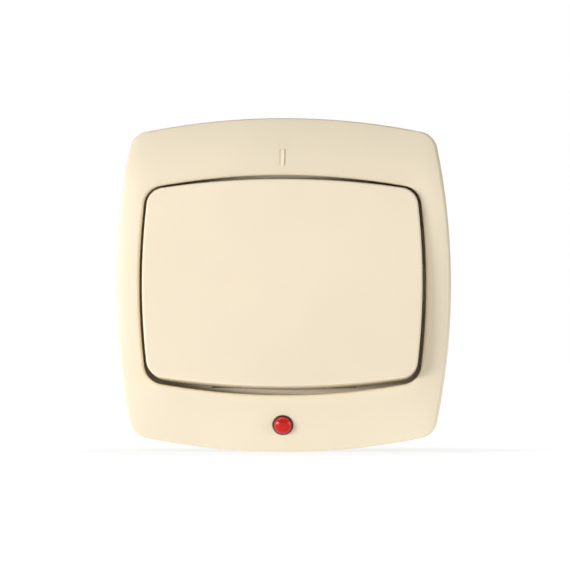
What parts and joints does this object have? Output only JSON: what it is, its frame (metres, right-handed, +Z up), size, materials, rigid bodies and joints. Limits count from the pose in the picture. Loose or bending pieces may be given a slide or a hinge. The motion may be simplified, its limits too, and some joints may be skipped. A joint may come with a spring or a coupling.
{
  "type": "illuminated light switch",
  "caption": "Flush wall light switch with a bowed square frame, a wide cream rocker, a small red indicator lens, and a rear mechanism with terminals and spreading claws.",
  "frame": {"origin": "centre of the frame on the wall plane, midway between the two wall box screw slots", "axes": "+X to the right seen from the front, +Y into the wall, +Z up; the rocker faces -Y"},
  "size_m": [0.082, 0.0359, 0.082],
  "materials": {
    "cream_frame": "smooth satin moulding",
    "cream_rocker": "smooth satin moulding",
    "red_lens": "clear red, polished",
    "zinc_screw": "bright zinc plated",
    "zinc_sheet": "zinc plated sheet",
    "housing_plastic": "fine matt moulding",
    "cover_plastic": "fine matt moulding",
    "rivet_metal": "plain",
    "carrier_plastic": "smooth moulding",
    "plunger_plastic": "smooth moulding",
    "spring_steel": "drawn wire",
    "contact_brass": "stamped strip",
    "contact_silver": "pressed silver",
    "claw_steel": "yellowish zinc plated sheet",
    "lamp_glass": "clear tube",
    "resistor_body": "lacquered",
    "lead_black": "insulated"
  },
  "bodies": {
    "base": {"front_frame": "cream_frame", "indicator_lens": "red_lens", "frame_screws": "zinc_screw", "support_plate": "zinc_sheet", "switch_housing": "housing_plastic", "housing_cover": "cover_plastic", "housing_rivets": "rivet_metal", "fixed_contact": "contact_silver", "line_strip": "contact_brass", "load_strip": "contact_brass", "terminal_washers": "zinc_sheet", "terminal_screws": "zinc_screw", "claw_screws": "zinc_screw", "lamp_holder": "cover_plastic", "neon_lamp": "lamp_glass", "lamp_resistor": "resistor_body", "line_lead": "lead_black", "load_lead": "lead_black"},
    "rocker": {"rocker": "cream_rocker", "rocker_carrier": "carrier_plastic", "plunger_spring": "spring_steel"},
    "plunger": {"plunger": "plunger_plastic"},
    "contact_lever": {"contact_lever": "contact_brass", "moving_contact": "contact_silver"},
    "left_claw": {"left_claw": "claw_steel"},
    "right_claw": {"right_claw": "claw_steel"},
    "left_claw_nut": {"left_claw_nut": "claw_steel"},
    "right_claw_nut": {"right_claw_nut": "claw_steel"}
  },
  "joints": [
    {"name": "rocker_tilt", "type": "hinge", "parent": "base", "child": "rocker", "pos_m": [0, -0.0045, 0], "axis": [1, 0, 0], "range_deg": [0, 4.8]},
    {"name": "plunger_slide", "type": "slide", "parent": "rocker", "child": "plunger", "axis": [0, 0.9991, -0.0419], "range_m": [-0.0008, 0], "stiffness_N_per_m": 300, "springref_m": 0.003, "deforming": ["plunger_spring"]},
    {"name": "lever_tilt", "type": "hinge", "parent": "base", "child": "contact_lever", "pos_m": [0, 0.0115, 0], "axis": [1, 0, 0], "range_deg": [-18, 0]},
    {"name": "left_claw_swing", "type": "hinge", "parent": "base", "child": "left_claw", "pos_m": [-0.0178, 0.0019, 0], "axis": [0, 0, 1], "range_deg": [0, 20]},
    {"name": "right_claw_swing", "type": "hinge", "parent": "base", "child": "right_claw", "pos_m": [0.0178, 0.0019, 0], "axis": [0, 0, -1], "range_deg": [0, 20]},
    {"name": "left_nut_slide", "type": "slide", "parent": "base", "child": "left_claw_nut", "axis": [0, -1, 0], "range_m": [0, 0.0006]},
    {"name": "right_nut_slide", "type": "slide", "parent": "base", "child": "right_claw_nut", "axis": [0, -1, 0], "range_m": [0, 0.0006]}
  ],
  "couplings": [
    {"joint": "lever_tilt", "follows": "rocker_tilt", "ratio": -3.75},
    {"joint": "left_nut_slide", "follows": "left_claw_swing", "m_per_rad": 0.001718},
    {"joint": "right_nut_slide", "follows": "right_claw_swing", "m_per_rad": 0.001718}
  ]
}
